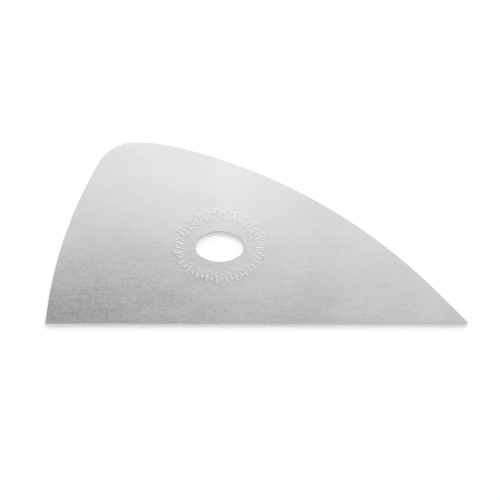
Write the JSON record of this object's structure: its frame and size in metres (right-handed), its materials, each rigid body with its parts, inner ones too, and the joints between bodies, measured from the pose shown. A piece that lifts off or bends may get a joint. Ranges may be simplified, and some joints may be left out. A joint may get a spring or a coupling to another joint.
{
  "type": "pottery rib",
  "caption": "Thin flexible sheet steel rib with a straight edge, a long convex edge running to a point, an oval finger hole and a ring of small stamped marks.",
  "frame": {"origin": "on the underside, in the middle of the blank's length and depth", "axes": "+X along the straight edge towards the tip, +Y from the straight edge to the crown, +Z out of the marked face"},
  "size_m": [0.134, 0.0576, 0.0005],
  "materials": {
    "steel": "satin rolled stainless steel with a faint lengthwise grain"
  },
  "bodies": {
    "root": {"blade": "steel"}
  },
  "joints": []
}
